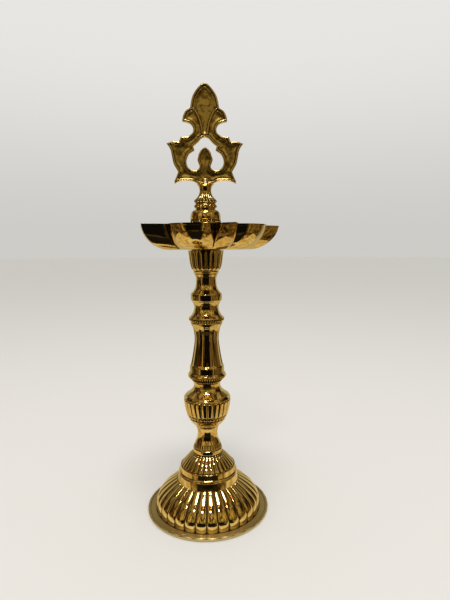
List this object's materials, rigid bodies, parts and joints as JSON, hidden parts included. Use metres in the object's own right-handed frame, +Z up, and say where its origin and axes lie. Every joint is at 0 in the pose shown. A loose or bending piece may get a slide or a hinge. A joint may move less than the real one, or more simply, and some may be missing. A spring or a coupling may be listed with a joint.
{
  "type": "standing oil lamp",
  "caption": "Standing brass oil lamp: ribbed bell foot, turned and fluted stem, scalloped bowl with pointed wick spouts, and an openwork finial plate that screws on top.",
  "frame": {"origin": "on the stem's axis, at the plane that the foot's rim rests on", "axes": "+Z up the stem to the finial's tip, X across the finial plate, -Y towards the plate's front"},
  "size_m": [0.1463, 0.1492, 0.457],
  "materials": {
    "polished_brass": "mirror-polished cast and turned brass with dark polish residue in the grooves",
    "cast_brass": "satin cast brass with a polished raised border",
    "steel_fastener": "plain turned steel rod, nut and washer",
    "fibre_seal": "pressed fibre washer, oil-darkened"
  },
  "bodies": {
    "base": {"base_bell": "polished_brass", "base_dome": "polished_brass"},
    "nut_washer": {"base_washer": "steel_fastener"},
    "nut": {"base_nut": "steel_fastener"},
    "stem": {"base_stud": "steel_fastener", "neck": "polished_brass", "bulb": "polished_brass", "bulb_stud": "steel_fastener", "column": "polished_brass", "column_stud": "steel_fastener", "upper_stem": "polished_brass", "upper_stud": "steel_fastener", "cup": "polished_brass", "cup_stud": "steel_fastener"},
    "bowl_washer": {"bowl_seal": "fibre_seal"},
    "bowl": {"bowl": "polished_brass"},
    "collar_seal": {"collar_washer": "fibre_seal"},
    "collar": {"collar": "polished_brass", "finial_stud": "steel_fastener"},
    "spacer": {"finial_washer": "polished_brass"},
    "finial": {"finial_foot": "polished_brass", "finial_plate": "cast_brass"}
  },
  "joints": [
    {"name": "nut_drop", "type": "slide", "parent": "base", "child": "nut_washer", "axis": [0, 0, -1], "range_m": [0, 0.008]},
    {"name": "nut_turn", "type": "hinge", "parent": "nut_washer", "child": "nut", "pos_m": [0, 0, 0.022], "axis": [0, 0, 1], "range_deg": [0, 1920.1]},
    {"name": "stem_lift", "type": "slide", "parent": "base", "child": "stem", "axis": [0, 0, 1], "range_m": [0, 0.05]},
    {"name": "bowl_lift", "type": "slide", "parent": "stem", "child": "bowl_washer", "axis": [0, 0, 1], "range_m": [0, 0.016]},
    {"name": "bowl_turn", "type": "hinge", "parent": "bowl_washer", "child": "bowl", "pos_m": [0, 0, 0.2882], "axis": [0, 0, 1], "continuous": true},
    {"name": "collar_rise", "type": "slide", "parent": "bowl", "child": "collar_seal", "axis": [0, 0, 1], "range_m": [0, 0.012]},
    {"name": "collar_turn", "type": "hinge", "parent": "collar_seal", "child": "collar", "pos_m": [0, 0, 0.2908], "axis": [0, 0, 1], "range_deg": [0, 3456.1]},
    {"name": "finial_rise", "type": "slide", "parent": "collar", "child": "spacer", "axis": [0, 0, 1], "range_m": [0, 0.0095]},
    {"name": "finial_turn", "type": "hinge", "parent": "spacer", "child": "finial", "pos_m": [0, 0, 0.3316], "axis": [0, 0, 1], "range_deg": [0, 3420.1]}
  ],
  "couplings": [
    {"joint": "nut_turn", "follows": "nut_drop", "rad_per_m": 4188.8},
    {"joint": "collar_turn", "follows": "collar_rise", "rad_per_m": 5026.5},
    {"joint": "finial_turn", "follows": "finial_rise", "rad_per_m": 6283.2}
  ]
}
